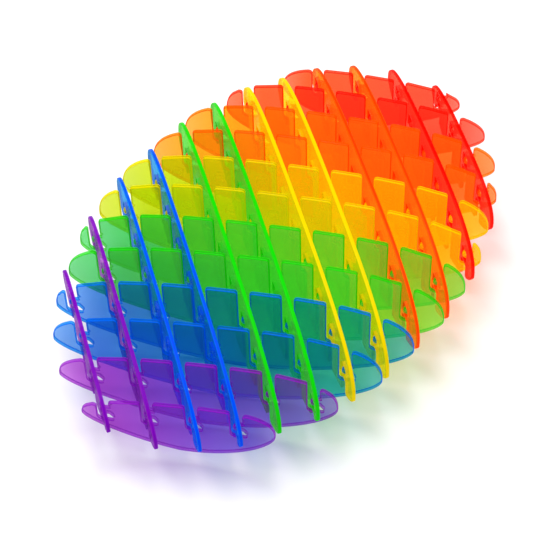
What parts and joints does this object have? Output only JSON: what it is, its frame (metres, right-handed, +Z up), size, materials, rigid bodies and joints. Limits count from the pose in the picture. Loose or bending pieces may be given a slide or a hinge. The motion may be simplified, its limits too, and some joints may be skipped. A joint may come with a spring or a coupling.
{
  "type": "folding lattice fidget toy",
  "caption": "Hand-held folding lattice of thin clear coloured plastic plates, hooked together crosswise in a flattened oval outline that shears between long and wide.",
  "frame": {"origin": "under the middle of the lattice, on the plane that its middle plates rest on", "axes": "+Z up, along every pivot; +X along the lattice's long diagonal at rest, towards the red plates; +Y to the left of +X"},
  "size_m": [0.111, 0.0746, 0.0282],
  "materials": {
    "purple_plastic": "clear tinted moulded plastic, polished faces, edges that glow in a deeper tint",
    "blue_plastic": "clear tinted moulded plastic, polished faces, edges that glow in a deeper tint",
    "green_plastic": "clear tinted moulded plastic, polished faces, edges that glow in a deeper tint",
    "yellow_plastic": "clear tinted moulded plastic, polished faces, edges that glow in a deeper tint",
    "orange_plastic": "clear tinted moulded plastic, polished faces, edges that glow in a deeper tint",
    "red_plastic": "clear tinted moulded plastic, polished faces, edges that glow in a deeper tint"
  },
  "bodies": {
    "lower_plate_01": {"lower_plate_01": "purple_plastic"},
    "lower_plate_02": {"lower_plate_02": "purple_plastic"},
    "lower_plate_03": {"lower_plate_03": "blue_plastic"},
    "lower_plate_04": {"lower_plate_04": "blue_plastic"},
    "lower_plate_05": {"lower_plate_05": "green_plastic"},
    "lower_plate_06": {"lower_plate_06": "green_plastic"},
    "lower_plate_07": {"lower_plate_07": "yellow_plastic"},
    "lower_plate_08": {"lower_plate_08": "yellow_plastic"},
    "lower_plate_09": {"lower_plate_09": "orange_plastic"},
    "lower_plate_10": {"lower_plate_10": "orange_plastic"},
    "lower_plate_11": {"lower_plate_11": "red_plastic"},
    "lower_plate_12": {"lower_plate_12": "red_plastic"},
    "upper_plate_01": {"upper_plate_01": "purple_plastic"},
    "upper_plate_02": {"upper_plate_02": "purple_plastic"},
    "upper_plate_03": {"upper_plate_03": "blue_plastic"},
    "upper_plate_04": {"upper_plate_04": "blue_plastic"},
    "upper_plate_05": {"upper_plate_05": "green_plastic"},
    "upper_plate_06": {"upper_plate_06": "green_plastic"},
    "upper_plate_07": {"upper_plate_07": "yellow_plastic"},
    "upper_plate_08": {"upper_plate_08": "yellow_plastic"},
    "upper_plate_09": {"upper_plate_09": "orange_plastic"},
    "upper_plate_10": {"upper_plate_10": "orange_plastic"},
    "upper_plate_11": {"upper_plate_11": "red_plastic"},
    "upper_plate_12": {"upper_plate_12": "red_plastic"}
  },
  "joints": [
    {"name": "lattice_fold", "type": "hinge", "parent": "lower_plate_06", "child": "upper_plate_06", "pos_m": [-0.0048, 0, 0.0138], "axis": [0, 0, 1], "range_deg": [-75, 24]},
    {"name": "upper_02_turn", "type": "hinge", "parent": "lower_plate_06", "child": "upper_plate_02", "pos_m": [-0.02401, 0.03045, 0.0138], "axis": [0, 0, 1], "range_deg": [-75, 24]},
    {"name": "upper_03_turn", "type": "hinge", "parent": "lower_plate_06", "child": "upper_plate_03", "pos_m": [-0.01921, 0.02284, 0.0138], "axis": [0, 0, 1], "range_deg": [-75, 24]},
    {"name": "upper_04_turn", "type": "hinge", "parent": "lower_plate_06", "child": "upper_plate_04", "pos_m": [-0.01441, 0.01522, 0.0138], "axis": [0, 0, 1], "range_deg": [-75, 24]},
    {"name": "upper_05_turn", "type": "hinge", "parent": "lower_plate_06", "child": "upper_plate_05", "pos_m": [-0.00961, 0.00761, 0.0138], "axis": [0, 0, 1], "range_deg": [-75, 24]},
    {"name": "upper_07_turn", "type": "hinge", "parent": "lower_plate_06", "child": "upper_plate_07", "pos_m": [0, -0.00761, 0.0138], "axis": [0, 0, 1], "range_deg": [-75, 24]},
    {"name": "upper_08_turn", "type": "hinge", "parent": "lower_plate_06", "child": "upper_plate_08", "pos_m": [0.0048, -0.01522, 0.0138], "axis": [0, 0, 1], "range_deg": [-75, 24]},
    {"name": "upper_09_turn", "type": "hinge", "parent": "lower_plate_06", "child": "upper_plate_09", "pos_m": [0.00961, -0.02284, 0.0138], "axis": [0, 0, 1], "range_deg": [-75, 24]},
    {"name": "upper_10_turn", "type": "hinge", "parent": "lower_plate_06", "child": "upper_plate_10", "pos_m": [0.01441, -0.03045, 0.0138], "axis": [0, 0, 1], "range_deg": [-75, 24]},
    {"name": "lower_02_turn", "type": "hinge", "parent": "upper_plate_06", "child": "lower_plate_02", "pos_m": [-0.02401, -0.03045, 0.0138], "axis": [0, 0, 1], "range_deg": [-24, 75]},
    {"name": "lower_03_turn", "type": "hinge", "parent": "upper_plate_06", "child": "lower_plate_03", "pos_m": [-0.01921, -0.02284, 0.0138], "axis": [0, 0, 1], "range_deg": [-24, 75]},
    {"name": "lower_04_turn", "type": "hinge", "parent": "upper_plate_06", "child": "lower_plate_04", "pos_m": [-0.01441, -0.01522, 0.0138], "axis": [0, 0, 1], "range_deg": [-24, 75]},
    {"name": "lower_05_turn", "type": "hinge", "parent": "upper_plate_06", "child": "lower_plate_05", "pos_m": [-0.00961, -0.00761, 0.0138], "axis": [0, 0, 1], "range_deg": [-24, 75]},
    {"name": "lower_07_turn", "type": "hinge", "parent": "upper_plate_06", "child": "lower_plate_07", "pos_m": [0, 0.00761, 0.0138], "axis": [0, 0, 1], "range_deg": [-24, 75]},
    {"name": "lower_08_turn", "type": "hinge", "parent": "upper_plate_06", "child": "lower_plate_08", "pos_m": [0.0048, 0.01522, 0.0138], "axis": [0, 0, 1], "range_deg": [-24, 75]},
    {"name": "lower_09_turn", "type": "hinge", "parent": "upper_plate_06", "child": "lower_plate_09", "pos_m": [0.00961, 0.02284, 0.0138], "axis": [0, 0, 1], "range_deg": [-24, 75]},
    {"name": "lower_10_turn", "type": "hinge", "parent": "upper_plate_06", "child": "lower_plate_10", "pos_m": [0.01441, 0.03045, 0.0138], "axis": [0, 0, 1], "range_deg": [-24, 75]},
    {"name": "lower_01_turn", "type": "hinge", "parent": "upper_plate_04", "child": "lower_plate_01", "pos_m": [-0.03842, -0.02284, 0.0138], "axis": [0, 0, 1], "range_deg": [-24, 75]},
    {"name": "lower_11_turn", "type": "hinge", "parent": "upper_plate_07", "child": "lower_plate_11", "pos_m": [0.02401, 0.03045, 0.0138], "axis": [0, 0, 1], "range_deg": [-24, 75]},
    {"name": "lower_12_turn", "type": "hinge", "parent": "upper_plate_09", "child": "lower_plate_12", "pos_m": [0.03842, 0.02284, 0.0138], "axis": [0, 0, 1], "range_deg": [-24, 75]},
    {"name": "upper_01_turn", "type": "hinge", "parent": "lower_plate_04", "child": "upper_plate_01", "pos_m": [-0.03842, 0.02284, 0.0138], "axis": [0, 0, 1], "range_deg": [-75, 24]},
    {"name": "upper_11_turn", "type": "hinge", "parent": "lower_plate_07", "child": "upper_plate_11", "pos_m": [0.02401, -0.03045, 0.0138], "axis": [0, 0, 1], "range_deg": [-75, 24]},
    {"name": "upper_12_turn", "type": "hinge", "parent": "lower_plate_09", "child": "upper_plate_12", "pos_m": [0.03842, -0.02284, 0.0138], "axis": [0, 0, 1], "range_deg": [-75, 24]}
  ],
  "couplings": [
    {"joint": "upper_02_turn", "follows": "lattice_fold", "ratio": 1},
    {"joint": "upper_03_turn", "follows": "lattice_fold", "ratio": 1},
    {"joint": "upper_04_turn", "follows": "lattice_fold", "ratio": 1},
    {"joint": "upper_05_turn", "follows": "lattice_fold", "ratio": 1},
    {"joint": "upper_07_turn", "follows": "lattice_fold", "ratio": 1},
    {"joint": "upper_08_turn", "follows": "lattice_fold", "ratio": 1},
    {"joint": "upper_09_turn", "follows": "lattice_fold", "ratio": 1},
    {"joint": "upper_10_turn", "follows": "lattice_fold", "ratio": 1},
    {"joint": "lower_02_turn", "follows": "lattice_fold", "ratio": -1},
    {"joint": "lower_03_turn", "follows": "lattice_fold", "ratio": -1},
    {"joint": "lower_04_turn", "follows": "lattice_fold", "ratio": -1},
    {"joint": "lower_05_turn", "follows": "lattice_fold", "ratio": -1},
    {"joint": "lower_07_turn", "follows": "lattice_fold", "ratio": -1},
    {"joint": "lower_08_turn", "follows": "lattice_fold", "ratio": -1},
    {"joint": "lower_09_turn", "follows": "lattice_fold", "ratio": -1},
    {"joint": "lower_10_turn", "follows": "lattice_fold", "ratio": -1},
    {"joint": "lower_01_turn", "follows": "lattice_fold", "ratio": -1},
    {"joint": "lower_11_turn", "follows": "lattice_fold", "ratio": -1},
    {"joint": "lower_12_turn", "follows": "lattice_fold", "ratio": -1},
    {"joint": "upper_01_turn", "follows": "lattice_fold", "ratio": 1},
    {"joint": "upper_11_turn", "follows": "lattice_fold", "ratio": 1},
    {"joint": "upper_12_turn", "follows": "lattice_fold", "ratio": 1}
  ]
}
